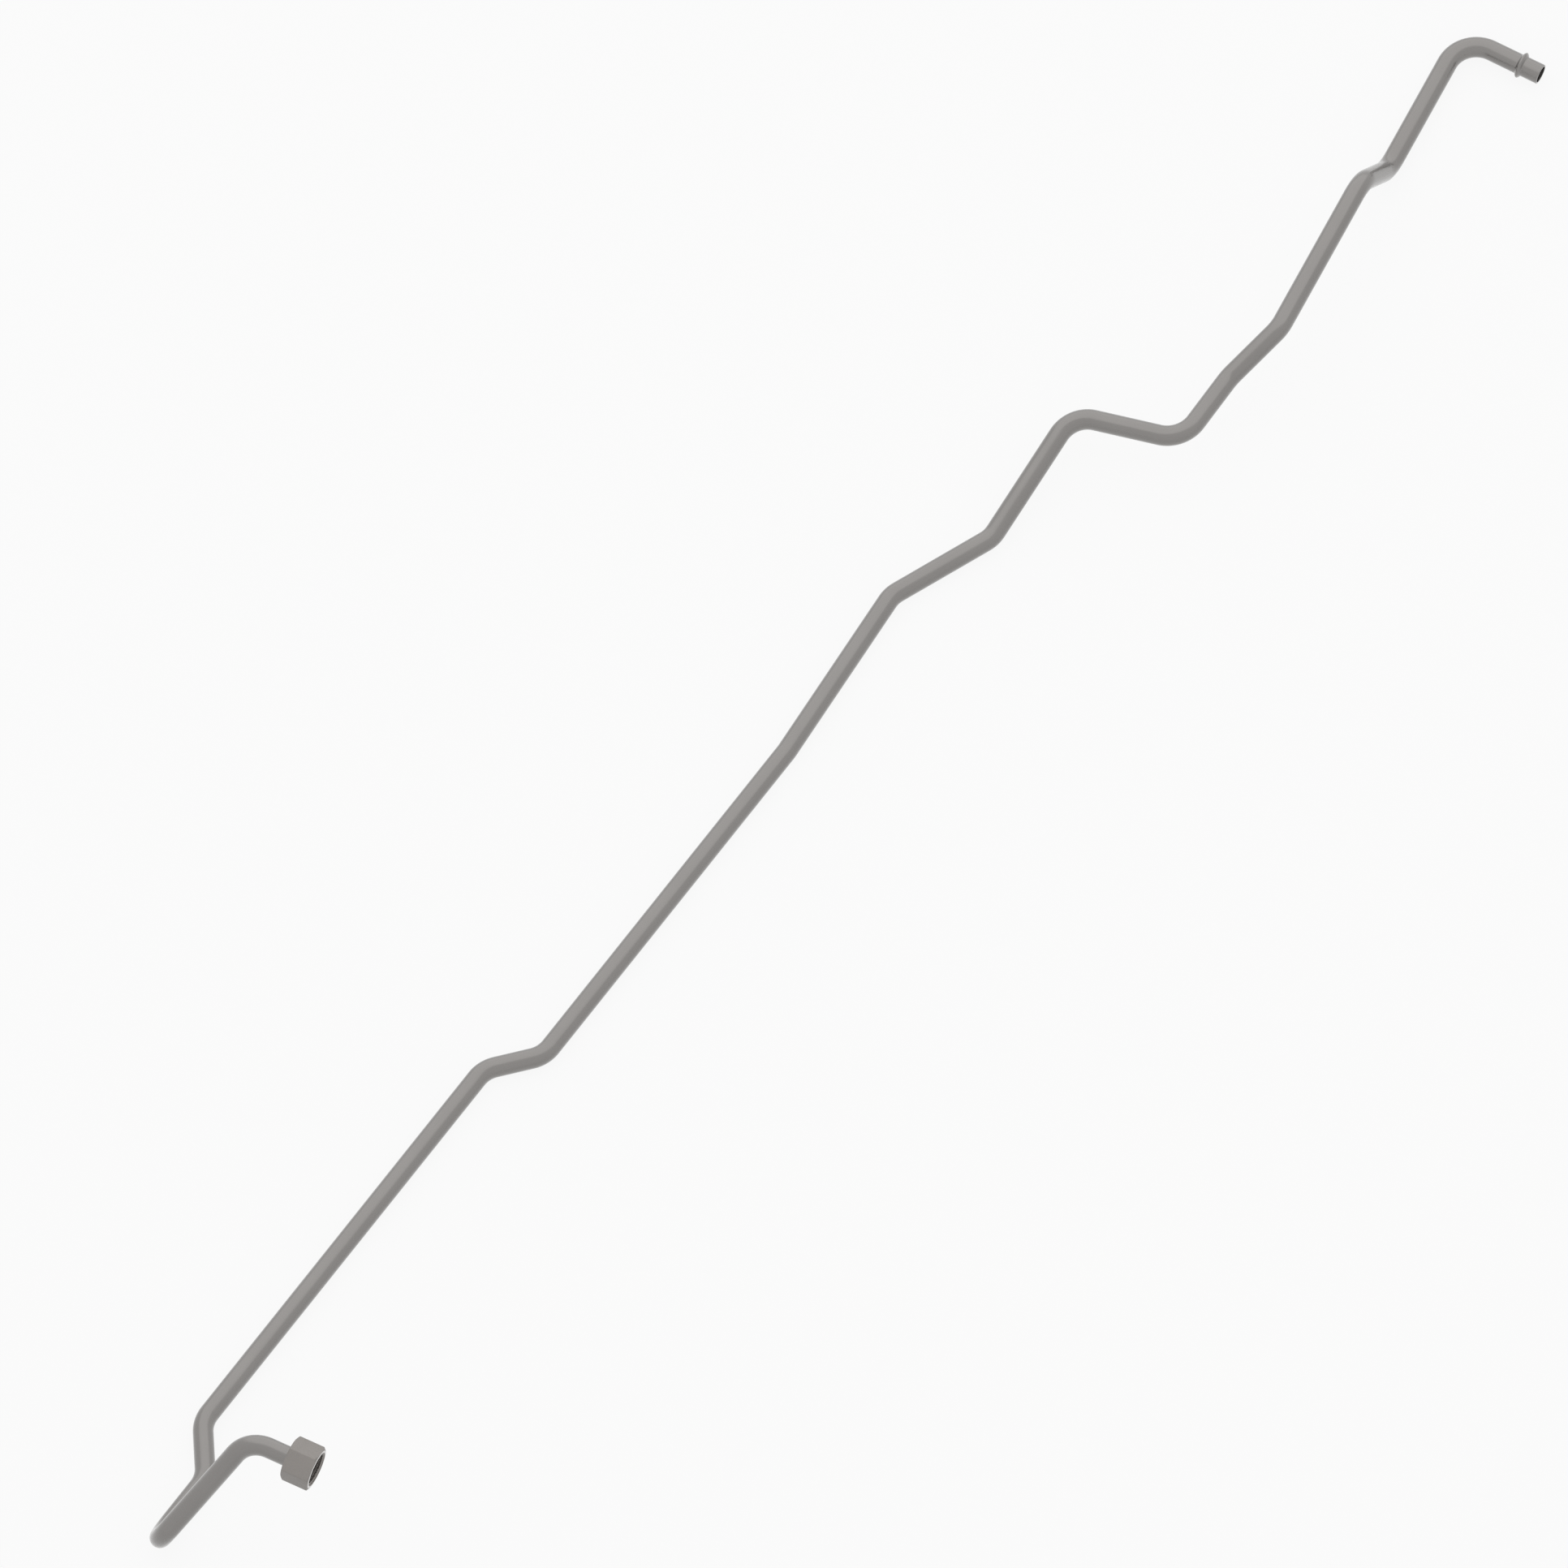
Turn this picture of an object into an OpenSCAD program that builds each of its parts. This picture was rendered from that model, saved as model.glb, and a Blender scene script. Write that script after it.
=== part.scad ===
// Bent tube assembly: a steel tube with a brazed flat-face sleeve and a swivel nut at one end and a hose bead
// at the other. Lengths are in millimetres and angles in degrees.
// The origin is the centre of the sleeve's sealing face, +X points out of the nut's mouth and +Z is up.
// The route is a chain of straight runs. A run's length goes from corner to corner, its heading is measured
// anticlockwise from +X seen from above, and its climb is measured up from level.

/* [Tube] */
// Outside diameter of the tube
tube_od = 12; // [10:0.5:14]
// Wall thickness of the tube
tube_wall = 1; // [0.6:0.1:2]
// Radius of every bend, at the centre line
bend_radius = 19; // [15:0.5:22]
// Loss of radius in the bends, where the tube is drawn
bend_draw = 0.03; // [0.02:0.01:0.1]

/* [Run lengths] */
// Nut run: from the sealing face to the first corner
nut_run_length = 35.5; // [32:0.5:60]
// Drop run: down from the nut run to the hook
drop_run_length = 119; // [100:0.5:140]
// Hook run: back along the floor after the hook
hook_run_length = 74; // [65:0.5:100]
// First jog
first_jog_length = 35.5; // [25:0.5:60]
// Long run
long_run_length = 273; // [200:0.5:320]
// Second jog
second_jog_length = 35.5; // [25:0.5:60]
// Middle run
middle_run_length = 237; // [180:0.5:280]
// Far run, which goes on from the middle run with a slight bend
far_run_length = 115.5; // [80:0.5:150]
// Veer run
veer_run_length = 68.5; // [45:0.5:100]
// Ramp run: the start of the raised bridge
ramp_run_length = 85.5; // [60:0.5:120]
// Cross run: the sideways part of the bridge
cross_run_length = 67; // [50:0.5:100]
// Shelf run: the first level part of the bridge
shelf_run_length = 48; // [35:0.5:80]
// Step run: between the two levels of the bridge
step_run_length = 41; // [30:0.5:70]
// Bridge run: the highest part
bridge_run_length = 104; // [70:0.5:140]
// Descent run: down to the floor again
descent_run_length = 46; // [35:0.5:60]
// Last run
last_run_length = 95.5; // [70:0.5:130]
// Hose run: from the last corner to the end of the tube
hose_run_length = 51.5; // [45:0.5:80]

/* [Run headings] */
// Heading of the hook, long and middle runs, which are parallel
main_heading = 80; // [74:0.5:82]
// Heading of the bridge and last runs, which are parallel
end_heading = 89; // [80:0.5:96]
// Heading of the drop run
drop_run_heading = -119; // [-125:0.5:-109]
// Heading of the first jog
first_jog_heading = 119; // [105:0.5:130]
// Heading of the second jog
second_jog_heading = 40.5; // [30:0.5:55]
// Heading of the far run
far_run_heading = 84.5; // [81:0.5:95]
// Heading of the veer run
veer_run_heading = 58.5; // [45:0.5:70]
// Heading of the ramp run
ramp_run_heading = 82.5; // [70:0.5:95]
// Heading of the cross run
cross_run_heading = 9; // [0:0.5:20]
// Heading of the shelf run
shelf_run_heading = 81.5; // [70:0.5:90]
// Heading of the step run
step_run_heading = 68; // [55:0.5:75]
// Heading of the descent run
descent_run_heading = 83; // [75:0.5:95]
// Turn from the last run to the hose run, clockwise from above
hose_turn = 91; // [75:0.5:100]

/* [Run climbs] */
// Climb of the drop run, negative because it goes down
drop_run_climb = -45; // [-52:0.5:-35]
// Climb of the ramp run
ramp_run_climb = 12; // [4:0.5:20]
// Climb of the cross run
cross_run_climb = 7; // [0:0.5:15]
// Climb of the step run
step_run_climb = 17; // [5:0.5:30]
// Climb of the descent run, negative because it goes down
descent_run_climb = -51.5; // [-60:0.5:-35]

/* [Hose end] */
// Height of the formed bead above the tube
bead_height = 1.9; // [0.8:0.1:2.5]
// Width of the bead where it leaves the tube
bead_width = 3.6; // [2.4:0.1:5]
// Radius of the bead's crest
bead_crest_radius = 0.6; // [0.3:0.05:0.8]
// Width of the groove that the bead leaves in the bore
bead_groove_width = 2.6; // [1.6:0.1:4]
// Radius at the bottom of that groove
groove_crest_radius = 0.2; // [0.1:0.05:0.4]
// Distance from the middle of the bead to the end of the tube
bead_to_end = 12.5; // [8:0.5:25]
// Radius of the rounded outer edge at the end of the tube
end_edge_radius = 0.4; // [0.1:0.05:0.5]

/* [Sleeve] */
// Whole length of the sleeve, back from its sealing face
sleeve_length = 8.5; // [7.5:0.5:14]
// Length of the sleeve's head, before its seat cone
head_length = 4; // [3:0.5:5]
// Wall of the shank round the tube
shank_wall = 1.4; // [1:0.1:1.8]
// Thickness of the stop in front of the tube's end
stop_thickness = 2; // [1.5:0.25:3]
// Chamfer of the sleeve's front and back edges
sleeve_chamfer = 0.4; // [0.2:0.1:0.6]
// Gap between the tube and the sleeve, on the radius, that the brazing metal fills
braze_gap = 0.05; // [0.02:0.01:0.1]

/* [Swivel nut] */
// Width of the hexagon across its flats
nut_across_flats = 24; // [24:0.5:30]
// Whole length of the nut
nut_length = 17.5; // [15:0.5:24]
// Distance from the sealing face to the mouth of the nut
mouth_depth = 8; // [6:0.5:9]
// Bore of the thread, at its crests
thread_bore = 18.9; // [18.5:0.1:20]
// Width of the chamfer at the mouth, on the radius
mouth_chamfer = 1.1; // [0.5:0.1:1.3]
// Distance from the sealing face to the inner end of the thread
thread_end = 1; // [0.5:0.1:2]
// Depth of the relief behind the thread, on the radius
relief_depth = 0.9; // [0.8:0.1:1]
// Diameter of the flat ring at each end of the hexagon
nut_face_d = 23.8; // [22.5:0.1:23.9]
// Slope of the chamfer at the hexagon's corners, back from the end face
corner_slope = 30; // [15:1:45]
// Gap by which the sleeve's head clears the thread's bore, on the radius
head_clearance = 0.25; // [0.15:0.05:0.4]
// Gap between the nut's hole and the sleeve's shank, on the radius
shank_clearance = 0.2; // [0.15:0.05:0.4]
// Gap between the seat in the nut and the cone of the sleeve, along the axis
seat_gap = 0.3; // [0.2:0.05:0.6]

/* [Hidden] */
$fn = 72;

// How far cutting shapes pass the faces that they cut
over = 1;
// A turn under this angle is no bend
least_turn = 0.01;
// How far the ends of a bend reach into the straights beside it
bend_lap = 0.3;
// Steps of a round edge
edge_steps = 6;
level = 0;
nut_run_heading = 180;

tube_radius = tube_od / 2;
bore_radius = tube_radius - tube_wall;

head_radius = thread_bore / 2 - head_clearance;
shank_radius = tube_radius + braze_gap + shank_wall;
cone_end = head_length + head_radius - shank_radius;
nut_hole_radius = shank_radius + shank_clearance;
nut_back = mouth_depth - nut_length;
corner_radius = nut_across_flats / 2 / cos(30);

// The first run starts at the tube's end, inside the sleeve
run_length = [
    nut_run_length - stop_thickness, drop_run_length, hook_run_length, first_jog_length, long_run_length,
    second_jog_length, middle_run_length, far_run_length, veer_run_length, ramp_run_length, cross_run_length,
    shelf_run_length, step_run_length, bridge_run_length, descent_run_length, last_run_length, hose_run_length
];
run_heading = [
    nut_run_heading, drop_run_heading, main_heading, first_jog_heading, main_heading,
    second_jog_heading, main_heading, far_run_heading, veer_run_heading, ramp_run_heading, cross_run_heading,
    shelf_run_heading, step_run_heading, end_heading, descent_run_heading, end_heading,
    end_heading - hose_turn
];
run_climb = [
    level, drop_run_climb, level, level, level, level, level, level, level, ramp_run_climb, cross_run_climb,
    level, step_run_climb, level, descent_run_climb, level, level
];
last = len(run_length) - 1;

// Direction of run i
function direction(i) = [
    cos(run_climb[i]) * cos(run_heading[i]),
    cos(run_climb[i]) * sin(run_heading[i]),
    sin(run_climb[i])
];

// Angle of the bend between run i and the next one, and none at the two ends
function turn(i) =
    i < 0 || i >= last ? 0 :
    let (a = direction(i), b = direction(i + 1))
    atan2(norm(cross(a, b)), a * b);

// Axis of that bend; a straight joint keeps the axis of the bend before it
function bend_axis(i) =
    i < 0 ? [0, 1, 0] :
    turn(i) < least_turn ? bend_axis(i - 1) :
    let (c = cross(direction(i), direction(i + 1)))
    c / norm(c);

// Turn of the tube about run i, from the plane of one bend to the plane of the next
function roll(i) =
    let (a = bend_axis(i - 1), b = bend_axis(i))
    atan2(cross(a, b) * direction(i), a * b);

// Length that bend i takes from each of the runs beside it
function setback(i) = bend_radius * tan(turn(i) / 2);

// Straight length that is left of run i between its bends
function straight(i) = run_length[i] - setback(i - 1) - setback(i);

// Carries its children to the start of run target, which then goes along +Z
module at_run(target, i = 0) {
    if (i == target) {
        children();
    } else {
        translate([0, 0, straight(i)])
            rotate([0, 0, roll(i)])
                translate([bend_radius, 0, 0])
                    rotate([0, turn(i), 0])
                        translate([-bend_radius, 0, 0])
                            at_run(target, i + 1) children();
    }
}

// Carries its children from the tube's end in the sleeve along the route to the start of run target
module on_route(target) {
    translate([-stop_thickness, 0, 0])
        rotate([0, -90, 0])
            at_run(target) children();
}

// The bend at the end of run i, drawn a little thinner than the straights and lapped into both
module bend(i, radius) {
    lap = bend_lap / bend_radius * 180 / PI;
    translate([0, 0, straight(i)])
        rotate([0, 0, roll(i)])
            translate([bend_radius, 0, 0])
                rotate([90, lap, 180])
                    rotate_extrude(angle = turn(i) + 2 * lap)
                        translate([bend_radius, 0])
                            circle(r = radius - bend_draw);
}

// One round rod along the whole route, which may pass the route's two ends
module route_rod(radius, past_ends = 0) {
    for (i = [0 : last]) {
        before = i == 0 ? past_ends : 0;
        after = i == last ? past_ends : 0;
        on_route(i) {
            translate([0, 0, -before])
                cylinder(h = before + straight(i) + after, r = radius);
            if (turn(i) > least_turn)
                bend(i, radius);
        }
    }
}

// A ring with straight flanks that touch its round crest, standing on a shaft of the given radius
module ridge(shaft_radius, height, width, crest) {
    centre = shaft_radius + height - crest;
    // Angle at the crest's centre, from straight outwards to the point where a flank touches it
    reach = norm([width / 2, centre - shaft_radius]);
    lean = 180 - atan2(width / 2, centre - shaft_radius) - acos(crest / reach);
    rotate_extrude()
        polygon(concat(
            [[shaft_radius - crest, width / 2], [shaft_radius - crest, -width / 2]],
            [[shaft_radius, -width / 2]],
            [for (k = [-edge_steps : edge_steps])
                let (a = lean * k / edge_steps)
                [centre + crest * cos(a), crest * sin(a)]],
            [[shaft_radius, width / 2]]
        ));
}

// Cuts the outer edge at the end of the tube to a quarter round
module end_edge_cut() {
    corner = [tube_radius - end_edge_radius, -end_edge_radius];
    rotate_extrude()
        polygon(concat(
            [for (k = [0 : edge_steps])
                let (a = 90 * k / edge_steps)
                corner + end_edge_radius * [cos(a), sin(a)]],
            [[corner[0], over], [tube_radius + over, over], [tube_radius + over, corner[1]]]
        ));
}

// A solid turned about +X from points of [position along X, radius]
module turned(points) {
    rotate([0, 90, 0])
        rotate_extrude()
            polygon([for (p = points) [p[1], p[0]]]);
}

// The bent tube, with its bead and its open bore
module tube() {
    color("#94918d")
        difference() {
            union() {
                route_rod(tube_radius);
                on_route(last)
                    translate([0, 0, straight(last) - bead_to_end])
                        ridge(tube_radius, bead_height, bead_width, bead_crest_radius);
            }
            route_rod(bore_radius, past_ends = over);
            on_route(last) {
                translate([0, 0, straight(last) - bead_to_end])
                    ridge(bore_radius, bead_height, bead_groove_width, groove_crest_radius);
                translate([0, 0, straight(last)])
                    end_edge_cut();
            }
        }
}

// The flat-face sleeve that is brazed on the tube
module sleeve() {
    socket_radius = tube_radius + braze_gap;
    color("#a29e99")
        turned([
            [0, bore_radius],
            [0, head_radius - sleeve_chamfer],
            [-sleeve_chamfer, head_radius],
            [-head_length, head_radius],
            [-cone_end, shank_radius],
            [-sleeve_length + sleeve_chamfer, shank_radius],
            [-sleeve_length, shank_radius - sleeve_chamfer],
            [-sleeve_length, socket_radius],
            [-stop_thickness, socket_radius],
            [-stop_thickness, bore_radius]
        ]);
}

// The hexagon nut, chamfered at both ends, with its bore, the relief, its seat and its hole for the sleeve
module swivel_nut() {
    thread_radius = thread_bore / 2;
    face_radius = nut_face_d / 2;
    corner_run = (corner_radius - face_radius) * tan(corner_slope);
    relief_radius = thread_radius + relief_depth;
    seat_start = head_length + seat_gap + head_radius - relief_radius;
    seat_end = head_length + seat_gap + head_radius - nut_hole_radius;
    color("#95928e")
        difference() {
            intersection() {
                translate([nut_back, 0, 0])
                    rotate([0, 90, 0])
                        cylinder(h = nut_length, r = corner_radius, $fn = 6);
                turned([
                    [nut_back, 0],
                    [nut_back, face_radius],
                    [nut_back + corner_run, corner_radius],
                    [nut_back + corner_run, corner_radius + over],
                    [mouth_depth - corner_run, corner_radius + over],
                    [mouth_depth - corner_run, corner_radius],
                    [mouth_depth, face_radius],
                    [mouth_depth, 0]
                ]);
            }
            turned([
                [mouth_depth + over, 0],
                [mouth_depth + over, thread_radius + mouth_chamfer + over],
                [mouth_depth - mouth_chamfer, thread_radius],
                [thread_end, thread_radius],
                [thread_end, relief_radius],
                [-seat_start, relief_radius],
                [-seat_end, nut_hole_radius],
                [nut_back - over, nut_hole_radius],
                [nut_back - over, 0]
            ]);
        }
}

tube();
sleeve();
swivel_nut();
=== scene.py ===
"""Studio scene of the bent tube assembly: fine surfaces, steel finishes, floor, light and camera.

Everything is in metres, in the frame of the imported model: the origin is the centre of the sleeve's
sealing face, +X points out of the nut's mouth and +Z is up. Driving sizes are written in millimetres.
"""

import logging
import math
from abc import ABC, abstractmethod
from dataclasses import dataclass
from enum import Enum, IntEnum
from functools import cached_property
from typing import Any, ClassVar, Mapping, Union

import bpy
import numpy as np
from mathutils import Matrix, Vector


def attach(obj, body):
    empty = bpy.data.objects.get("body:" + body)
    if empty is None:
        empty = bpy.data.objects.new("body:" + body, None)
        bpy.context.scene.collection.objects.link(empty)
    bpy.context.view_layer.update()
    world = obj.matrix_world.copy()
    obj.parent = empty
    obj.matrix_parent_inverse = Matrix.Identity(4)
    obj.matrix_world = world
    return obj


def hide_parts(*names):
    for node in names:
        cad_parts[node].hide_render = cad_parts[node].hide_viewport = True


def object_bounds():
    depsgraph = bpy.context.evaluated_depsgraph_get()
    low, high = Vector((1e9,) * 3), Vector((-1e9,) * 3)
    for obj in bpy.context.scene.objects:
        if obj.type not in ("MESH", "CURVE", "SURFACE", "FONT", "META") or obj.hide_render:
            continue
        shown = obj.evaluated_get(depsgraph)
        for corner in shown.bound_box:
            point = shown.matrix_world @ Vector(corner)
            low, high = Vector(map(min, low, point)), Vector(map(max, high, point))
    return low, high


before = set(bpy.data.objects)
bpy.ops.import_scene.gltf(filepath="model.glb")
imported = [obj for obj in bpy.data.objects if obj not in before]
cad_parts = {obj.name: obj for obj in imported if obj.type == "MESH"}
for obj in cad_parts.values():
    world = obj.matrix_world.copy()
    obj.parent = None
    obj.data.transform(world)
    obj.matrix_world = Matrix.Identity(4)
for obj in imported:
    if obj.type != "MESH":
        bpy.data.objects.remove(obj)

LOG = logging.getLogger("bent_tube_assembly")
CAD_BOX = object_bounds()
MM = 0.001
SAME_PLACE = 1e-6
FULL_TURN = 360.0
NOISE_MIDDLE = 0.5
GRAIN = "grain"
SECOND_FINISH_AND_HIGHLIGHT = "second_finish_and_painted_highlight"

Colour = tuple[float, float, float, float]
Operand = Union["Value", float]
Settings = Mapping[str, Any]
Inputs = Mapping[Union[str, int], Any]


class Value:
    """A number on a shader socket, whose arithmetic adds Math nodes."""

    def __init__(self, graph: "Graph", socket: bpy.types.NodeSocket) -> None:
        """Keeps the graph that the socket belongs to."""
        self.graph = graph
        self.socket = socket

    def _math(self, operation: str, left: Operand, right: Operand) -> "Value":
        """Adds one Math node.

        Args:
            operation: The node's operation.
            left: First operand.
            right: Second operand.

        Returns:
            The node's result.
        """
        node = self.graph.add("ShaderNodeMath", {"operation": operation}, {0: left, 1: right})
        return Value(self.graph, node.outputs[0])

    def __add__(self, other: Operand) -> "Value":
        """self + other."""
        return self._math("ADD", self, other)

    def __radd__(self, other: Operand) -> "Value":
        """other + self."""
        return self._math("ADD", other, self)

    def __sub__(self, other: Operand) -> "Value":
        """self - other."""
        return self._math("SUBTRACT", self, other)

    def __rsub__(self, other: Operand) -> "Value":
        """other - self."""
        return self._math("SUBTRACT", other, self)

    def __mul__(self, other: Operand) -> "Value":
        """self * other."""
        return self._math("MULTIPLY", self, other)

    def __rmul__(self, other: Operand) -> "Value":
        """other * self."""
        return self._math("MULTIPLY", other, self)

    def at_most(self, limit: Operand) -> "Value":
        """The lesser of self and the limit."""
        return self._math("MINIMUM", self, limit)


class ColourMix(IntEnum):
    """Sockets of a Mix node in its colour mode, by number, because other modes use the same names."""

    SHARE = 0
    FIRST = 6
    OTHER = 7
    RESULT = 2


class Graph:
    """The node tree of a material or a world, with one way to add any node."""

    def __init__(self, tree: bpy.types.NodeTree) -> None:
        """Empties the tree."""
        self.tree = tree
        self.tree.nodes.clear()

    def add(self, kind: str, settings: Settings, inputs: Inputs) -> bpy.types.Node:
        """Adds a node.

        Args:
            kind: The node's type.
            settings: Properties of the node, which are set first.
            inputs: Values, sockets or plain numbers for its input sockets.

        Returns:
            The new node.
        """
        node = self.tree.nodes.new(kind)
        for name, setting in settings.items():
            setattr(node, name, setting)
        for key, given in inputs.items():
            source = given.socket if isinstance(given, Value) else given
            if isinstance(source, bpy.types.NodeSocket):
                self.tree.links.new(source, node.inputs[key])
            else:
                node.inputs[key].default_value = source
        return node

    def value(self, kind: str, settings: Settings, inputs: Inputs, output: str) -> Value:
        """Adds a node and wraps one of its outputs.

        Args:
            kind: The node's type.
            settings: Properties of the node.
            inputs: What its input sockets take.
            output: Name of the output.

        Returns:
            The wrapped output.
        """
        return Value(self, self.add(kind, settings, inputs).outputs[output])

    def blend(self, share: Value, first: Any, other: Any) -> bpy.types.NodeSocket:
        """Adds a mix of two colours.

        Args:
            share: Share of the other colour.
            first: First colour, or a socket that gives it.
            other: Other colour.

        Returns:
            The mixed colour.
        """
        inputs = {ColourMix.SHARE: share, ColourMix.FIRST: first, ColourMix.OTHER: other}
        return self.add("ShaderNodeMix", {"data_type": "RGBA"}, inputs).outputs[ColourMix.RESULT]

    def seen_directly(self) -> Value:
        """1 for camera, glossy and transmission rays, and 0 for the rest."""
        path = self.add("ShaderNodeLightPath", {}, {})
        camera, glossy, transmission = (
            Value(self, path.outputs[name])
            for name in ("Is Camera Ray", "Is Glossy Ray", "Is Transmission Ray")
        )
        return (camera + glossy + transmission).at_most(1.0)


class Grain(Enum):
    """How the steel was worked, which gives the fine lines on it."""

    DRAWN = "lines along the tube"
    TURNED = "rings round the axis"
    FORGED = "fine even tooth"


@dataclass(frozen=True)
class SteelFinish:
    """A satin steel, with soft patches of tone and the fine lines of its making.

    The grain attribute of a piece holds its straightened coordinates: across, across and along its axis.
    The second finish attribute is 1 on the walls that differ from the rest, such as a bore that was
    never polished or an end face that was turned, and 0 elsewhere. On the nut's end faces the second
    colour is lighter than the steel and is partly a painted highlight.
    """

    name: str
    grain: Grain
    tone: Colour
    shade: Colour
    # Colour of the second finish: a dull bore on the tube and the sleeve, and a lighter tone on the nut's
    # end faces that is partly a painted highlight.
    second: Colour
    roughness: float
    roughness_spread: float
    second_roughness: float
    patch_size: float
    line_spacing: float
    line_depth: float
    metallic: float = 1.0
    coat: float = 1.0
    coat_roughness: float = 0.2
    coat_ior: float = 1.7
    line_stretch: float = 60.0
    line_detail: float = 2.0
    line_breakup: float = 0.5
    patch_detail: float = 4.0
    patch_breakup: float = 0.55
    bump_strength: float = 0.5

    def lines(self, graph: Graph, place: bpy.types.NodeSocket) -> Value:
        """Noise that is squeezed across the lines and stretched along them.

        Args:
            graph: The material's graph.
            place: The grain coordinates.

        Returns:
            The height of the fine lines, from 0 to 1.
        """
        fine = 1.0 / (self.line_spacing * MM)
        if self.grain is Grain.TURNED:
            parts = graph.add("ShaderNodeSeparateXYZ", {}, {"Vector": place}).outputs
            across = {"X": parts["X"], "Y": parts["Y"]}
            flat = graph.add("ShaderNodeCombineXYZ", {}, across).outputs["Vector"]
            radius = graph.value("ShaderNodeVectorMath", {"operation": "LENGTH"}, {0: flat}, "Value")
            along = Value(graph, parts["Z"])
            spot = graph.add("ShaderNodeCombineXYZ", {}, {"X": radius * fine, "Y": along * fine})
        else:
            lengthways = fine / self.line_stretch if self.grain is Grain.DRAWN else fine
            scale = (fine, fine, lengthways)
            spot = graph.add("ShaderNodeMapping", {}, {"Vector": place, "Scale": scale})
        noise = {
            "Vector": spot.outputs["Vector"],
            "Scale": 1.0,
            "Detail": self.line_detail,
            "Roughness": self.line_breakup,
        }
        return graph.value("ShaderNodeTexNoise", {}, noise, "Fac")

    def material(self) -> bpy.types.Material:
        """Makes the material: patches feed its colour, lines its roughness and bump.

        Returns:
            The material.
        """
        material = bpy.data.materials.new(self.name)
        material.use_nodes = True
        graph = Graph(material.node_tree)
        place = graph.add("ShaderNodeAttribute", {"attribute_name": GRAIN}, {}).outputs["Vector"]
        patch_noise = {
            "Vector": place,
            "Scale": 1.0 / (self.patch_size * MM),
            "Detail": self.patch_detail,
            "Roughness": self.patch_breakup,
        }
        patches = graph.value("ShaderNodeTexNoise", {}, patch_noise, "Fac")
        lines = self.lines(graph, place)
        second = graph.value("ShaderNodeAttribute", {"attribute_name": SECOND_FINISH_AND_HIGHLIGHT}, {}, "Fac")
        skin = graph.blend(patches, self.shade, self.tone)
        # The second colour replaces the steel's where the second finish attribute is 1; on the nut that
        # lighter tone is partly a painted highlight.
        colour = graph.blend(second, skin, self.second)
        skin_roughness = self.roughness + self.roughness_spread * (lines - NOISE_MIDDLE)
        roughness = skin_roughness + (self.second_roughness - self.roughness) * second
        relief = {"Strength": self.bump_strength, "Distance": self.line_depth * MM, "Height": lines}
        bump = graph.add("ShaderNodeBump", {}, relief)
        steel = graph.add(
            "ShaderNodeBsdfPrincipled",
            {},
            {
                "Base Color": colour,
                "Metallic": self.metallic,
                "Roughness": roughness,
                "Normal": bump.outputs["Normal"],
                "Coat Weight": self.coat,
                "Coat Roughness": self.coat_roughness,
                "Coat IOR": self.coat_ior,
            },
        )
        graph.add("ShaderNodeOutputMaterial", {}, {"Surface": steel.outputs["BSDF"]})
        return material


def unit(vectors: np.ndarray) -> np.ndarray:
    """Vectors divided by their lengths along the last axis."""
    return vectors / np.linalg.norm(vectors, axis=-1, keepdims=True)


def turned_about(vectors: np.ndarray, axes: np.ndarray, angles: np.ndarray) -> np.ndarray:
    """Vectors turned about unit axes.

    The part of a vector across its axis swings by the angle, and the part along the axis stays.

    Args:
        vectors: Vectors, one to a row.
        axes: Unit axes, one to a row.
        angles: Angles in radians.

    Returns:
        The turned vectors.
    """
    cosine = np.cos(angles)[..., None]
    sine = np.sin(angles)[..., None]
    along = np.sum(vectors * axes, axis=-1, keepdims=True) * axes
    return vectors * cosine + np.cross(axes, vectors) * sine + along * (1 - cosine)


def soft_corners(corners: np.ndarray, radius: float) -> np.ndarray:
    """A broken line with each inner corner cut back on both sides and rounded through a point between.

    The point between is a quarter of each cut end and half of the corner.

    Args:
        corners: Corners of the line, in an array (corners, around, 2).
        radius: How far each corner is cut back, up to a third of the side.

    Returns:
        Points of the rounded line, in an array (points, around, 2).
    """
    inner = corners[1:-1]
    sides = np.linalg.norm(np.diff(corners, axis=0), axis=-1, keepdims=True)
    cuts = np.minimum(radius, sides / 3)
    before = inner + unit(corners[:-2] - inner) * cuts[:-1]
    after = inner + unit(corners[2:] - inner) * cuts[1:]
    between = (before + 2 * inner + after) / 4
    rounded = np.stack([before, between, after], axis=1).reshape(-1, *corners.shape[1:])
    return np.concatenate([corners[:1], rounded, corners[-1:]])


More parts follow.
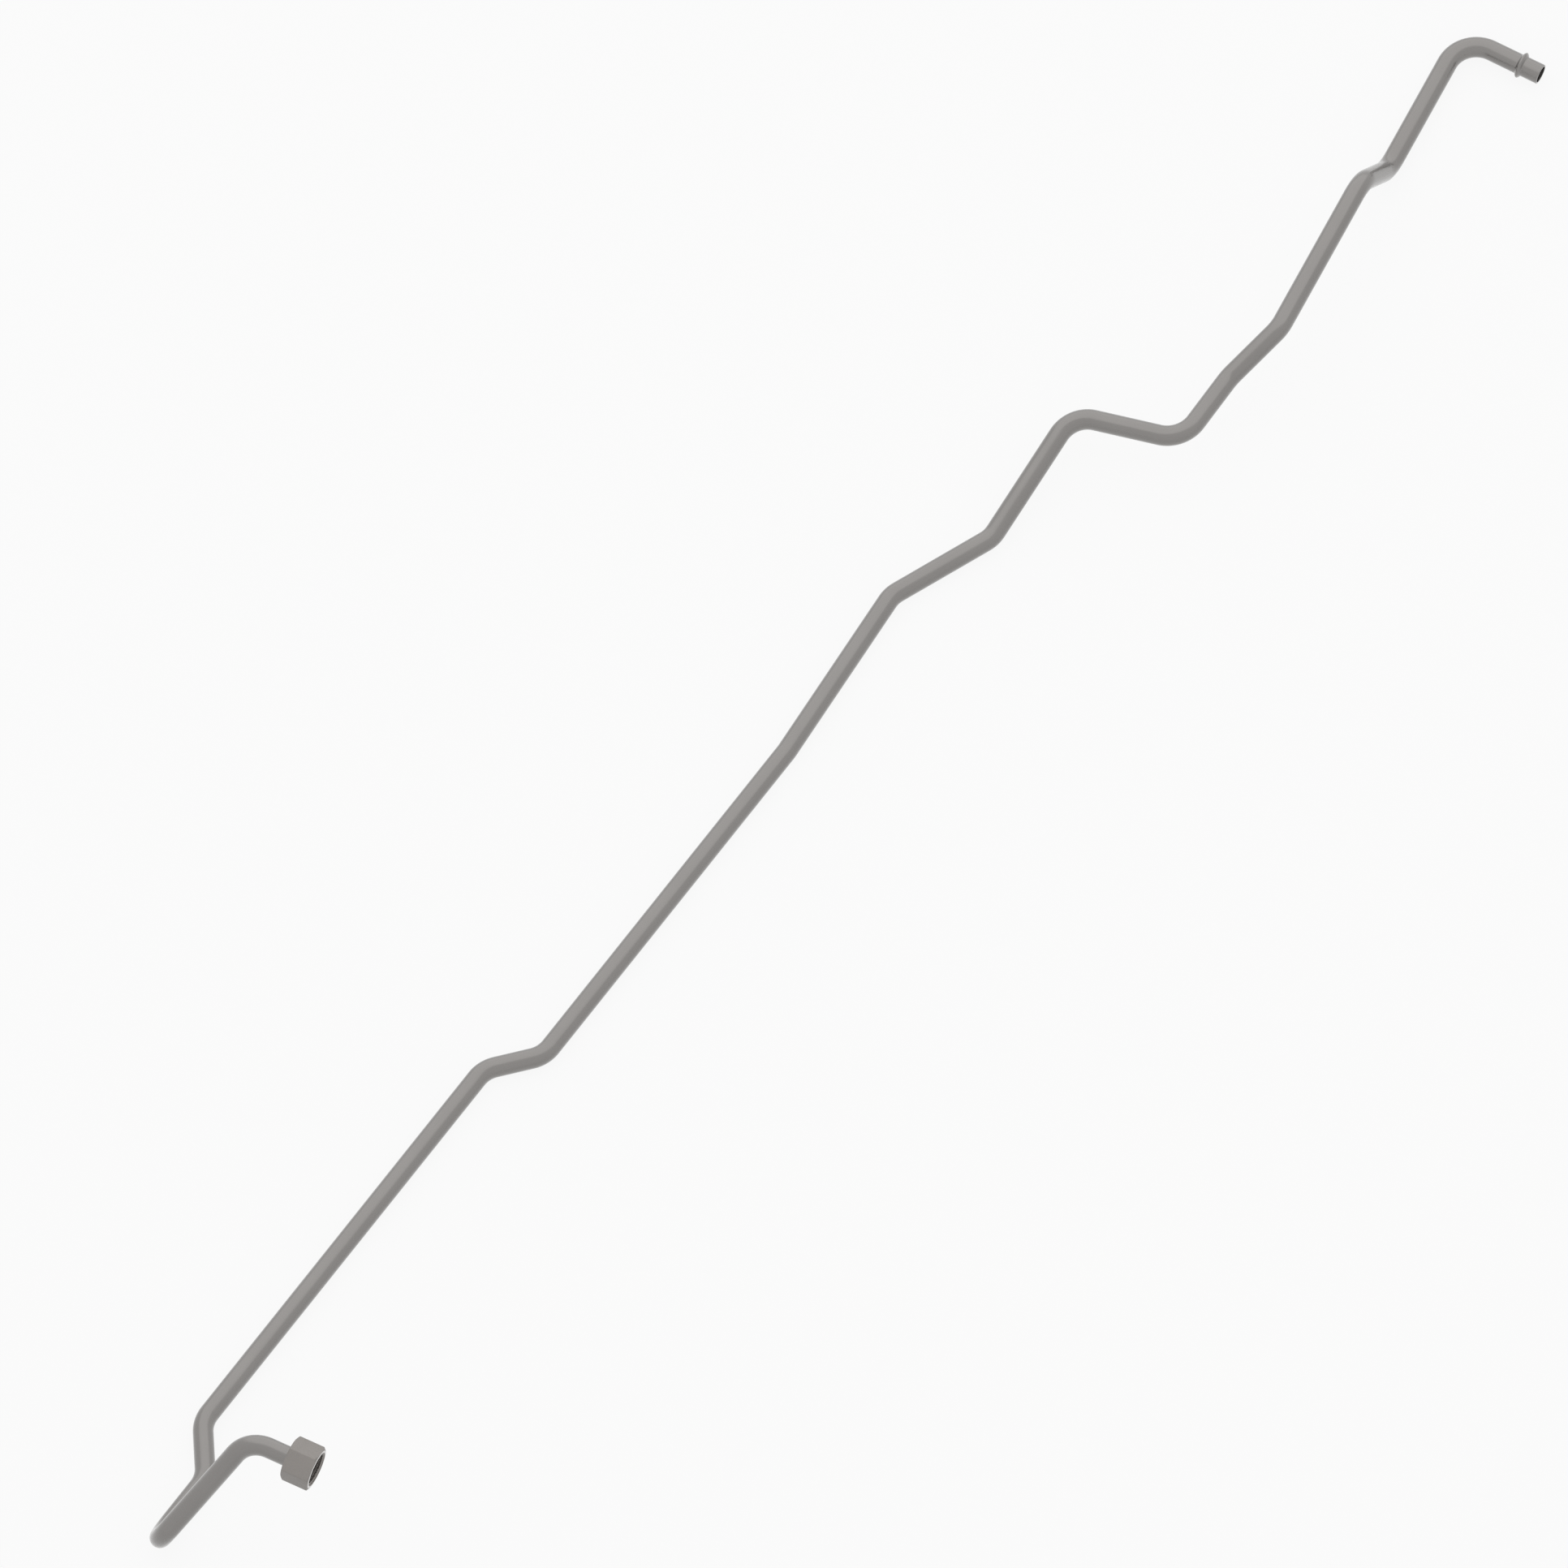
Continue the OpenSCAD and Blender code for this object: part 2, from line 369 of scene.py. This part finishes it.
def closed_surface(
    name: str,
    points: np.ndarray,
    grain: np.ndarray,
    second: np.ndarray,
    crease: float,
) -> bpy.types.Object:
    """A mesh on a grid of rings that closes on itself both ways, with its faces outwards.

    Faces join each point to the next one round its ring and to the next ring. The mesh is turned
    right side out by the sign of its volume, the sum of p0 . (p1 x p2) / 6 over its triangles.

    Args:
        name: Name of the piece.
        points: Points, in an array (rings, around, 3).
        grain: Grain coordinates of the points, in an array of the same shape.
        second: 1 for each ring with the second finish, which on the nut's end faces carries a painted
            highlight, and 0 for the rest.
        crease: Angle in degrees past which an edge stays sharp.

    Returns:
        The new object, at the origin.
    """
    rings, around, _ = points.shape
    number = np.arange(rings * around).reshape(rings, around)
    beside = np.roll(number, -1, axis=1)
    faces = np.stack([number, beside, np.roll(beside, -1, axis=0), np.roll(number, -1, axis=0)], axis=-1)
    faces = faces.reshape(-1, 4)
    spots = points.reshape(-1, 3)
    corner = spots[faces]
    volume = np.einsum("ij,ij->", corner[:, 0], np.cross(corner[:, 1], corner[:, 2]))
    volume += np.einsum("ij,ij->", corner[:, 0], np.cross(corner[:, 2], corner[:, 3]))
    if volume < 0:
        faces = faces[:, ::-1]
    mesh = bpy.data.meshes.new(name)
    mesh.from_pydata(spots.tolist(), [], faces.tolist())
    mesh.polygons.foreach_set("use_smooth", np.ones(len(faces), dtype=bool))
    mesh.set_sharp_from_angle(angle=math.radians(crease))
    attribute = mesh.attributes.new(GRAIN, "FLOAT_VECTOR", "POINT")
    attribute.data.foreach_set("vector", grain.reshape(-1).astype(np.float32))
    attribute = mesh.attributes.new(SECOND_FINISH_AND_HIGHLIGHT, "FLOAT", "POINT")
    attribute.data.foreach_set("value", np.repeat(second, around).astype(np.float32))
    mesh.update()
    piece = bpy.data.objects.new(name, mesh)
    bpy.context.scene.collection.objects.link(piece)
    return piece


def round_axis(profile: np.ndarray, angles: np.ndarray) -> tuple[np.ndarray, np.ndarray]:
    """Points of a profile that is carried round the X axis: (x, r cos a, r sin a).

    Args:
        profile: Place along the axis and radius in millimetres, in an array (rings, around, 2).
        angles: Angle of each point of a ring, in radians.

    Returns:
        The points, and their grain coordinates with the axis last.
    """
    along = profile[..., 0]
    across = profile[..., 1] * np.cos(angles)
    height = profile[..., 1] * np.sin(angles)
    points = np.stack([along, across, height], axis=-1) * MM
    grain = np.stack([across, height, along], axis=-1) * MM
    return points, grain


@dataclass(frozen=True)
class SteelPiece(ABC):
    """A piece of one steel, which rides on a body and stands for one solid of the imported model."""

    name: ClassVar[str]
    body: ClassVar[str]
    node: ClassVar[str]
    slot: ClassVar[str]
    finish: SteelFinish

    @abstractmethod
    def build(self) -> bpy.types.Object:
        """Makes the mesh of the piece."""

    def dress(self, piece: bpy.types.Object) -> None:
        """Gives the mesh its finish, sets it on the body that it rides on and hides the solid that it
        stands for.

        Args:
            piece: The mesh that build made.
        """
        piece.data.materials.append(self.finish.material())
        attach(piece, self.body)
        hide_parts(self.node)
        LOG.info("%s: %d faces, %s", piece.name, len(piece.data.polygons), self.finish.name)


@dataclass(frozen=True)
class Run:
    """One straight run of the route, corner to corner, in millimetres and degrees."""

    name: str
    length: float
    heading: float
    climb: float = 0.0

    def direction(self) -> np.ndarray:
        """Unit vector from the heading about +Z and the climb above level."""
        heading, climb = math.radians(self.heading), math.radians(self.climb)
        level = math.cos(climb)
        return np.array([level * math.cos(heading), level * math.sin(heading), math.sin(climb)])


@dataclass(frozen=True)
class RouteParts:
    """The straights and bends of a route in their order, one to a row.

    A row holds the length of the part, the point where it starts, the way and the side that it faces there
    and the axis that it bends about, which is zero for a straight.
    """

    spans: np.ndarray
    points: np.ndarray
    ways: np.ndarray
    sides: np.ndarray
    hinges: np.ndarray

    @cached_property
    def ends(self) -> np.ndarray:
        """Distance along the route to the end of each part."""
        return np.cumsum(self.spans)


@dataclass(frozen=True)
class Route:
    """The tube's centre line: straight runs that are joined by bends of one radius.

    The first run is measured from the sealing face, and the centre line starts a little way behind it.
    """

    runs: tuple[Run, ...]
    bend_radius: float
    start: float

    @cached_property
    def parts(self) -> RouteParts:
        """The straights and bends, from the corners of the runs and the setbacks of the bends."""
        ways = np.array([run.direction() for run in self.runs])
        lengths = np.array([run.length for run in self.runs])
        lengths[0] -= self.start
        corners = np.array([-self.start, 0.0, 0.0]) + np.cumsum(ways * lengths[:, None], axis=0)
        turns = np.arccos(np.sum(ways[:-1] * ways[1:], axis=1))
        setbacks = self.bend_radius * np.tan(turns / 2)
        hinges = unit(np.cross(ways[:-1], ways[1:]))
        sides = [np.array([0.0, 0.0, 1.0])]
        for hinge, turn in zip(hinges, turns):
            sides.append(turned_about(sides[-1], hinge, turn))
        side = np.array(sides)
        bend_starts = corners[:-1] - ways[:-1] * setbacks[:, None]
        run_starts = corners - ways * lengths[:, None]
        run_starts[1:] += ways[1:] * setbacks[:, None]
        span = lengths.copy()
        span[:-1] -= setbacks
        span[1:] -= setbacks
        return RouteParts(
            spans=self.woven(span, self.bend_radius * turns),
            points=self.woven(run_starts, bend_starts),
            ways=self.woven(ways, ways[:-1]),
            sides=self.woven(side, side[:-1]),
            hinges=self.woven(np.zeros_like(ways), hinges),
        )

    @staticmethod
    def woven(straights: np.ndarray, bends: np.ndarray) -> np.ndarray:
        """Values of straights and bends, one after the other along the route.

        Args:
            straights: Values of the straights.
            bends: Values of the bends, one fewer.

        Returns:
            The values in the order of the route.
        """
        mixed = np.zeros((len(straights) + len(bends), *straights.shape[1:]))
        mixed[0::2] = straights
        mixed[1::2] = bends
        return mixed

    @property
    def length(self) -> float:
        """Length of the centre line."""
        return float(self.parts.ends[-1])

    def stations(self, bend_step: float) -> np.ndarray:
        """Distances along the route at which a ring is needed.

        Args:
            bend_step: Largest angle between rings in a bend, in degrees.

        Returns:
            Ends of the straights, and even steps through the bends.
        """
        ends = self.parts.ends
        step = self.bend_radius * math.radians(bend_step)
        bends = [
            np.linspace(start, end, math.ceil((end - start) / step) + 1)
            for start, end in zip(ends[0:-1:2], ends[1::2])
        ]
        return np.concatenate([[0.0], *bends, ends[-1:]])

    def locate(self, along: np.ndarray) -> tuple[np.ndarray, np.ndarray, np.ndarray]:
        """Centre line points and the two directions across it, without twist.

        On a straight the point moves by t along the way. On a bend, where the angle is t over the bend
        radius R, it moves by R sin(angle) along the way and R (1 - cos(angle)) to the inside.

        Args:
            along: Distances along the route, in millimetres.

        Returns:
            Points, side vectors and the vectors across both, one to a row.
        """
        parts = self.parts
        which = np.minimum(np.searchsorted(parts.ends, along), len(parts.ends) - 1)
        gone = along - (parts.ends - parts.spans)[which]
        bent = which % 2 == 1
        angle = np.where(bent, gone / self.bend_radius, 0.0)
        way = parts.ways[which]
        hinge = parts.hinges[which]
        inside = np.cross(hinge, way)
        ahead = np.where(bent, self.bend_radius * np.sin(angle), gone)[:, None]
        aside = np.where(bent, self.bend_radius * (1 - np.cos(angle)), 0.0)[:, None]
        points = parts.points[which] + way * ahead + inside * aside
        side = turned_about(parts.sides[which], hinge, angle)
        across = np.cross(turned_about(way, hinge, angle), side)
        return points, side, across


@dataclass(frozen=True)
class BentTube(SteelPiece):
    """The tube with its formed bead, its bore and its rounded end, in millimetres.

    The bead's roundness is a share of half its width, its ease of its height and its reach of its width.
    """

    name: ClassVar[str] = "bent_tube"
    body: ClassVar[str] = "tube"
    node: ClassVar[str] = "tube"
    slot: ClassVar[str] = "tube_steel"
    diameter: float = 12.0
    wall: float = 1.0
    bend_radius: float = 19.0
    start: float = 2.0
    bead_height: float = 1.9
    bead_width: float = 3.6
    bead_from_end: float = 12.5
    bead_roundness: float = 0.6
    bead_ease: float = 0.09
    bead_reach: float = 1.4
    bead_rings: int = 57
    groove_width: float = 2.6
    end_edge: float = 0.4
    lip_edge: float = 0.2
    edge_rings: int = 7
    crease: float = 40.0
    around: int = 72
    outer_step: float = 3.0
    bore_step: float = 6.0
    main_heading: float = 80.0
    end_heading: float = 89.0
    hose_turn: float = 91.0

    def route(self) -> Route:
        """The route from the sleeve to the hose end."""
        return Route(
            (
                Run("nut", 35.5, 180.0),
                Run("drop", 119.0, -119.0, -45.0),
                Run("hook", 74.0, self.main_heading),
                Run("first jog", 35.5, 119.0),
                Run("long", 273.0, self.main_heading),
                Run("second jog", 35.5, 40.5),
                Run("middle", 237.0, self.main_heading),
                Run("far", 115.5, 84.5),
                Run("veer", 68.5, 58.5),
                Run("ramp", 85.5, 82.5, 12.0),
                Run("cross", 67.0, 9.0, 7.0),
                Run("shelf", 48.0, 81.5),
                Run("step", 41.0, 68.0, 17.0),
                Run("bridge", 104.0, self.end_heading),
                Run("descent", 46.0, 83.0, -51.5),
                Run("last", 95.5, self.end_heading),
                Run("hose", 51.5, self.end_heading - self.hose_turn),
            ),
            self.bend_radius,
            self.start,
        )

    def ridge(self, offset: np.ndarray, width: float) -> np.ndarray:
        """Height of the bead: a hyperbola that falls from the crest, eased into the wall.

        With t the distance from the crest over half the width, the hyperbola is
        y = 1 - (sqrt(t^2 + c^2) - c) / (sqrt(1 + c^2) - c), where c is the roundness. Half of
        y + sqrt(y^2 + e^2), where e is the ease, brings it down to zero. The whole is scaled to the
        height at the crest.

        Args:
            offset: Distance from the crest.
            width: Width at the foot.

        Returns:
            The bead's height at each offset.
        """
        crest, ease = self.bead_roundness, self.bead_ease
        share = 2 * np.abs(offset) / width
        fall = (np.sqrt(share**2 + crest**2) - crest) / (math.sqrt(1 + crest**2) - crest)
        rise = 1 - fall
        top = (1 + math.sqrt(1 + ease**2)) / 2
        return self.bead_height * (rise + np.sqrt(rise**2 + ease**2)) / (2 * top)

    def formed(self, offset: np.ndarray, radius: float, width: float) -> np.ndarray:
        """Radius of a wall of the tube that has the bead in it.

        Args:
            offset: Distance from the bead's crest.
            radius: Radius of the plain wall.
            width: Width of the bead in this wall.

        Returns:
            The wall's radius at each offset.
        """
        near = np.abs(offset) <= self.bead_reach * self.bead_width + SAME_PLACE
        return radius + np.where(near, self.ridge(offset, width), 0.0)

    def section(self, route: Route) -> tuple[np.ndarray, np.ndarray, np.ndarray]:
        """The tube's section, out along the skin, round the end and back along the bore.

        Args:
            route: The centre line.

        Returns:
            Distances and radii of the rings, and the bore mask, which rises over the lip at the end.
        """
        radius = self.diameter / 2
        bore = radius - self.wall
        bead = route.length - self.bead_from_end
        close = bead + np.linspace(-self.bead_reach, self.bead_reach, self.bead_rings) * self.bead_width
        skin = np.union1d(route.stations(self.outer_step), close)
        skin = skin[skin < route.length - self.end_edge]
        skin_radius = self.formed(skin - bead, radius, self.bead_width)
        quarter = np.linspace(0.0, math.pi / 2, self.edge_rings)
        edge = route.length - self.end_edge * (1 - np.sin(quarter))
        edge_radius = radius - self.end_edge * (1 - np.cos(quarter))
        lip = route.length - self.lip_edge * (1 - np.cos(quarter))
        lip_radius = bore + self.lip_edge * (1 - np.sin(quarter))
        hollow = np.union1d(route.stations(self.bore_step), close)
        hollow = hollow[hollow < route.length - self.lip_edge - SAME_PLACE][::-1]
        hollow_radius = self.formed(hollow - bead, bore, self.groove_width)
        along = np.concatenate([skin, edge, lip, hollow])
        rings = np.concatenate([skin_radius, edge_radius, lip_radius, hollow_radius])
        outside = np.zeros(len(skin) + len(edge))
        bore_mask = np.concatenate([outside, np.linspace(0.0, 1.0, len(lip)), np.ones(len(hollow))])
        return along, rings, bore_mask

    def build(self) -> bpy.types.Object:
        """Carries a circle along the section: centre + r (cos a side + sin a across).

        Returns:
            The tube's mesh.
        """
        route = self.route()
        along, radius, bore = self.section(route)
        centres, side, across = route.locate(along)
        angles = np.linspace(0.0, 2 * math.pi, self.around, endpoint=False)
        cosine = radius[:, None] * np.cos(angles)
        sine = radius[:, None] * np.sin(angles)
        points = centres[:, None] + cosine[..., None] * side[:, None] + sine[..., None] * across[:, None]
        straight = np.broadcast_to(along[:, None], cosine.shape)
        grain = np.stack([cosine, sine, straight], axis=-1)
        return closed_surface(self.name, points * MM, grain * MM, bore, self.crease)


@dataclass(frozen=True)
class FlangeSleeve(SteelPiece):
    """The turned sleeve on the tube's end, from its sealing face to its shank, in millimetres."""

    name: ClassVar[str] = "flange_sleeve"
    body: ClassVar[str] = "tube"
    node: ClassVar[str] = "sleeve"
    slot: ClassVar[str] = "sleeve_steel"
    head_radius: float = 9.2
    head_length: float = 4.0
    shank_radius: float = 7.45
    length: float = 8.5
    bore_radius: float = 5.0
    socket_radius: float = 6.05
    stop: float = 2.0
    edge: float = 0.35
    crease: float = 30.0
    around: int = 96

    def build(self) -> bpy.types.Object:
        """Carries the section round the axis, with soft corners.

        Returns:
            The sleeve's mesh.
        """
        cone_end = -self.head_length - (self.head_radius - self.shank_radius)
        face_middle = (0.0, (self.bore_radius + self.head_radius) / 2)
        corners = np.array(
            [
                face_middle,
                (0.0, self.head_radius),
                (-self.head_length, self.head_radius),
                (cone_end, self.shank_radius),
                (-self.length, self.shank_radius),
                (-self.length, self.socket_radius),
                (-self.stop, self.socket_radius),
                (-self.stop, self.bore_radius),
                (0.0, self.bore_radius),
                face_middle,
            ]
        )
        angles = np.linspace(0.0, 2 * math.pi, self.around, endpoint=False)
        profile = np.repeat(corners[:, None], self.around, axis=1)
        rings = soft_corners(profile, self.edge)[:-1]
        points, grain = round_axis(rings, angles)
        bore = rings[:, 0, 1] <= self.socket_radius
        return closed_surface(self.name, points, grain, bore, self.crease)


@dataclass(frozen=True)
class SwivelNut(SteelPiece):
    """The hexagon nut with its chamfered ends, its thread and its seat, in millimetres.

    The shares of the thread's crest and flank are of half its pitch.
    """

    name: ClassVar[str] = "swivel_nut_threaded"
    body: ClassVar[str] = "nut"
    node: ClassVar[str] = "swivel_nut"
    slot: ClassVar[str] = "nut_steel"
    flats: int = 6
    across_flats: float = 24.0
    front: float = 8.0
    back: float = -9.5
    face_radius: float = 11.9
    face_crown: float = 0.2
    corner_slope: float = 30.0
    crest_radius: float = 9.45
    thread_pitch: float = 25.4 / 16
    thread_depth: float = 0.86
    crest_share: float = 0.25
    flank_share: float = 0.625
    thread_end: float = 1.0
    mouth_chamfer: float = 1.1
    relief_radius: float = 10.35
    relief_end: float = -3.15
    hole_radius: float = 7.65
    edge: float = 0.15
    crease: float = 35.0
    corner_power: float = 60.0
    points_a_flat: int = 30
    rings_a_pitch: int = 20

    @property
    def mouth_radius(self) -> float:
        """Radius of the mouth, outside its chamfer."""
        return self.crest_radius + self.mouth_chamfer

    @property
    def facing(self) -> np.ndarray:
        """Angle that each flat faces, in radians, in a column. Corners point to +Z and -Z."""
        return np.radians(np.arange(self.flats) * FULL_TURN / self.flats)[:, None]

    def angles(self) -> np.ndarray:
        """Angles round the nut, closest together at the corners.

        A flat is swept by half its angle times the sine of a quarter turn, as a share goes from -1 to 1.

        Returns:
            The angles, in radians.
        """
        share = np.linspace(-1.0, 1.0, self.points_a_flat, endpoint=False)
        half_flat = math.radians(FULL_TURN / self.flats / 2)
        return (self.facing + half_flat * np.sin(share * math.pi / 2)).reshape(-1)

    def hexagon(self, angles: np.ndarray) -> np.ndarray:
        """Radius of the hexagon.

        The cosines to the flats are blended by the root of the sum of a high power, which rounds the
        corners, and the radius is half of the width across the flats over that blend.

        Args:
            angles: Angles round the axis.

        Returns:
            The radius at each angle.
        """
        lean = np.maximum(np.cos(angles - self.facing), 0.0)
        blend = np.sum(lean**self.corner_power, axis=0) ** (1 / self.corner_power)
        return self.across_flats / 2 / blend

    def thread(self, angles: np.ndarray) -> np.ndarray:
        """The threaded bore: a helical groove, cut off by the mouth's chamfer.

        The phase is x over the pitch less the turn, which makes a right-hand thread. Its swing goes from 0
        at the middle of a crest to 1 at the middle of a root. The groove is flat over the crest's share of
        the swing, deepens evenly over the flank's share and is flat at the root. The radius is never less
        than the mouth's cone.

        Args:
            angles: Angles round the axis.

        Returns:
            Place along the axis and radius, in an array (rings, around, 2).
        """
        mouth = self.front - self.edge
        rings = math.ceil((mouth - self.thread_end) / self.thread_pitch * self.rings_a_pitch)
        along = np.linspace(mouth, self.thread_end, rings)[:, None]
        phase = along / self.thread_pitch - angles / (2 * math.pi)
        swing = 2 * np.abs(phase - np.floor(phase) - 0.5)
        groove = self.thread_depth * np.clip((swing - self.crest_share) / self.flank_share, 0.0, 1.0)
        cone = self.mouth_chamfer - (self.front - along)
        radius = self.crest_radius + np.maximum(groove, cone)
        return np.stack(np.broadcast_arrays(along, radius), axis=-1)

    def shell(self, angles: np.ndarray, first: np.ndarray, last: np.ndarray) -> np.ndarray:
        """From the thread's inner end through the seat, round the outside and back to the mouth.

        An end's chamfer falls by the tangent of its slope from the face's ring out to the hexagon. At the
        front, where the face is crowned, the fall is the root of its square plus the crown's square.

        Args:
            angles: Angles round the axis.
            first: The thread's first ring, at the mouth.
            last: The thread's last ring.

        Returns:
            Place along the axis and radius, in an array (rings, around, 2).
        """
        outside = self.hexagon(angles)
        fall = (outside - self.face_radius) * math.tan(math.radians(self.corner_slope))
        seat_end = self.relief_end - (self.relief_radius - self.hole_radius)
        stops = (
            (self.thread_end, self.relief_radius),
            (self.relief_end, self.relief_radius),
            (seat_end, self.hole_radius),
            (self.back, self.hole_radius),
            (self.back, self.face_radius),
            (self.back + fall, outside),
            (self.front - np.hypot(fall, self.face_crown), outside),
            (self.front - self.face_crown, self.face_radius),
            (self.front, self.mouth_radius),
        )
        rings = [np.broadcast_arrays(along, radius, outside)[:2] for along, radius in stops]
        middle = [np.stack(ring, axis=-1) for ring in rings]
        return soft_corners(np.stack([last, *middle, first]), self.edge)[1:-1]

    def build(self) -> bpy.types.Object:
        """Carries the thread and the shell round the axis.

        Returns:
            The nut's mesh.
        """
        angles = self.angles()
        thread = self.thread(angles)
        profile = np.concatenate([thread, self.shell(angles, thread[0], thread[-1])])
        points, grain = round_axis(profile, angles)
        along, radius = profile[:, 0].T
        # The turned end faces take the nut's lighter second colour, which is partly a painted highlight
        # round the mouth.
        front_face = (along >= self.front - self.face_crown) & (radius >= self.mouth_radius)
        turned = front_face | np.isclose(along, self.back)
        return closed_surface(self.name, points, grain, turned, self.crease)


@dataclass(frozen=True)
class Lamp:
    """A soft square lamp that faces the middle of the object."""

    name: str
    azimuth: float
    elevation: float
    distance: float
    size: float
    power: float

    def build(self, target: Vector) -> None:
        """Places the lamp round the target, by its azimuth from +Y and its height in degrees.

        Args:
            target: Where it points.
        """
        light = bpy.data.lights.new(self.name, "AREA")
        light.size = self.size
        light.energy = self.power
        lamp = bpy.data.objects.new(self.name, light)
        lamp.visible_camera = False
        bpy.context.scene.collection.objects.link(lamp)
        turn, lift = math.radians(self.azimuth), math.radians(self.elevation)
        level = math.cos(lift)
        away = Vector((math.sin(turn) * level, math.cos(turn) * level, math.sin(lift)))
        place = Matrix.Translation(target + away * self.distance)
        lamp.matrix_world = place @ away.to_track_quat("Z", "Y").to_matrix().to_4x4()


@dataclass(frozen=True)
class Studio:
    """A pale floor, a white surround and soft lamps."""

    floor_size: float = 30.0
    floor_colour: Colour = (0.86, 0.86, 0.86, 1.0)
    white: Colour = (1.0, 1.0, 1.0, 1.0)
    floor_glow: float = 0.9
    glow_strength: float = 1.0
    ambient: float = 0.55
    lamps: tuple[Lamp, ...] = (
        Lamp("wall of light", azimuth=-27.0, elevation=48.0, distance=4.0, size=8.2, power=76.0),
    )

    def floor(self, height: float) -> None:
        """A level square under the object, nearly white to the camera and in reflections.

        Args:
            height: The floor's height.
        """
        half = self.floor_size / 2
        mesh = bpy.data.meshes.new("floor")
        square = [(-half, -half), (half, -half), (half, half), (-half, half)]
        mesh.from_pydata([(x, y, height) for x, y in square], [], [range(len(square))])
        floor = bpy.data.objects.new("floor", mesh)
        bpy.context.scene.collection.objects.link(floor)
        material = bpy.data.materials.new("pale floor")
        material.use_nodes = True
        graph = Graph(material.node_tree)
        matt = graph.add("ShaderNodeBsdfDiffuse", {}, {"Color": self.floor_colour})
        glow = graph.add("ShaderNodeEmission", {}, {"Color": self.white, "Strength": self.glow_strength})
        share = graph.seen_directly() * self.floor_glow
        mixed = graph.add("ShaderNodeMixShader", {}, {0: share, 1: matt.outputs[0], 2: glow.outputs[0]})
        graph.add("ShaderNodeOutputMaterial", {}, {"Surface": mixed.outputs[0]})
        mesh.materials.append(material)

    def surround(self) -> None:
        """A world that is white to the camera and in reflections, and dimmer as light."""
        world = bpy.data.worlds.new("white surround")
        world.use_nodes = True
        graph = Graph(world.node_tree)
        strength = self.ambient + (1.0 - self.ambient) * graph.seen_directly()
        sky = graph.add("ShaderNodeBackground", {}, {"Color": self.white, "Strength": strength})
        graph.add("ShaderNodeOutputWorld", {}, {"Surface": sky.outputs[0]})
        bpy.context.scene.world = world

    def build(self, middle: Vector, height: float) -> None:
        """Makes the floor, the surround and the lamps.

        Args:
            middle: Middle of the object.
            height: The floor's height.
        """
        self.floor(height)
        self.surround()
        for lamp in self.lamps:
            lamp.build(middle)
        bpy.context.scene.view_settings.view_transform = "Standard"


@dataclass(frozen=True)
class PhotoCamera:
    """A camera at the photograph's angle, far off with a long lens, as the photograph has no perspective.

    The lens, the sensor, the target and the frame's width at the target are in millimetres.
    """

    azimuth: float = 26.1
    elevation: float = 66.0
    lens: float = 1500.0
    sensor: float = 36.0
    frame_width: float = 903.2
    target: tuple[float, float, float] = (42.6, 536.6, -84.1)
    clip_start: float = 1.0

    def build(self) -> None:
        """Sets the camera back from the target until the frame's width fills the sensor."""
        turn, lift = math.radians(self.azimuth), math.radians(self.elevation)
        right = Vector((math.cos(turn), math.sin(turn), 0.0))
        away = Vector((-math.sin(turn), math.cos(turn), 0.0))
        back = Vector((0.0, 0.0, math.sin(lift))) - away * math.cos(lift)
        distance = self.lens / self.sensor * self.frame_width * MM
        data = bpy.data.cameras.new("photo_camera")
        data.lens = self.lens
        data.sensor_width = self.sensor
        data.clip_start = self.clip_start
        data.clip_end = 2 * distance
        camera = bpy.data.objects.new("photo_camera", data)
        bpy.context.scene.collection.objects.link(camera)
        facing = Matrix((right, back.cross(right), back)).transposed()
        place = Vector(self.target) * MM + back * distance
        camera.matrix_world = Matrix.Translation(place) @ facing.to_4x4()
        bpy.context.scene.camera = camera


TUBE_STEEL = SteelFinish(
    name="drawn satin steel",
    grain=Grain.DRAWN,
    tone=(0.204, 0.193, 0.184, 1.0),
    shade=(0.178, 0.168, 0.160, 1.0),
    second=(0.075, 0.070, 0.066, 1.0),
    roughness=0.32,
    roughness_spread=0.22,
    second_roughness=0.57,
    patch_size=30.0,
    line_spacing=0.4,
    line_depth=0.05,
)
SLEEVE_STEEL = SteelFinish(
    name="turned satin steel",
    grain=Grain.TURNED,
    tone=(0.30, 0.287, 0.274, 1.0),
    shade=(0.24, 0.229, 0.219, 1.0),
    second=(0.10, 0.095, 0.09, 1.0),
    roughness=0.32,
    roughness_spread=0.12,
    second_roughness=0.57,
    patch_size=6.0,
    line_spacing=0.25,
    line_depth=0.03,
)
NUT_STEEL = SteelFinish(
    name="forged satin steel",
    grain=Grain.FORGED,
    tone=(0.304, 0.284, 0.267, 1.0),
    shade=(0.270, 0.252, 0.237, 1.0),
    # Lighter colour of the turned end faces: partly the turned face, partly a painted highlight ring.
    second=(0.58, 0.565, 0.55, 1.0),
    roughness=0.65,
    roughness_spread=0.16,
    second_roughness=0.3,
    patch_size=9.0,
    line_spacing=0.3,
    line_depth=0.05,
    coat=0.4,
)


def main() -> None:
    """Builds and dresses the pieces, then makes the studio and the camera."""
    logging.basicConfig(level=logging.INFO, format="%(name)s: %(message)s")
    for part in (BentTube(TUBE_STEEL), FlangeSleeve(SLEEVE_STEEL), SwivelNut(NUT_STEEL)):
        part.dress(part.build())
    low, high = CAD_BOX
    Studio().build((low + high) / 2, low.z)
    LOG.info("studio: floor at %.4f m", low.z)
    PhotoCamera().build()


if __name__ == "__main__":
    main()
